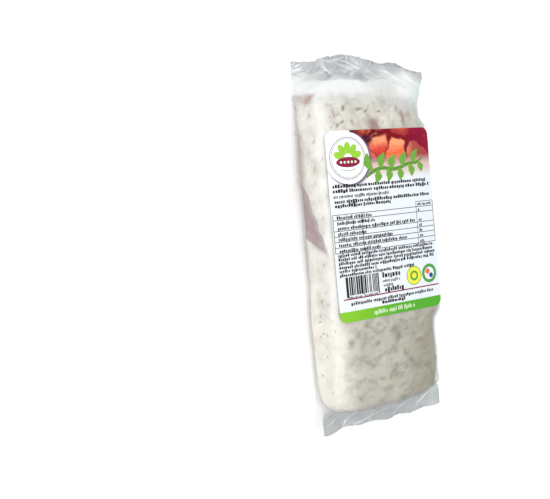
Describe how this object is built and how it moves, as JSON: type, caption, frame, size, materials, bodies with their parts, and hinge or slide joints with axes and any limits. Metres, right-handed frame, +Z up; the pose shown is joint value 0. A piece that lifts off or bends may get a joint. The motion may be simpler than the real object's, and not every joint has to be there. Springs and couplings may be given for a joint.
{
  "type": "tempeh cake",
  "caption": "Flat block of white tempeh sealed in a clear film pouch with crimped ends and a printed paper label on its face.",
  "frame": {"origin": "middle of the flat underside that the pack rests on", "axes": "+Z up through the pack to its label, +Y along the pack towards the label's head, +X to the right of the label as it is read"},
  "size_m": [0.092, 0.2242, 0.0299],
  "materials": {
    "pouch_film": "clear crinkled pouch film drawn tight over an ivory tempeh cake",
    "label_paper": null
  },
  "bodies": {
    "root": {"sealed_pack": "pouch_film", "paper_label": "label_paper"}
  },
  "joints": []
}
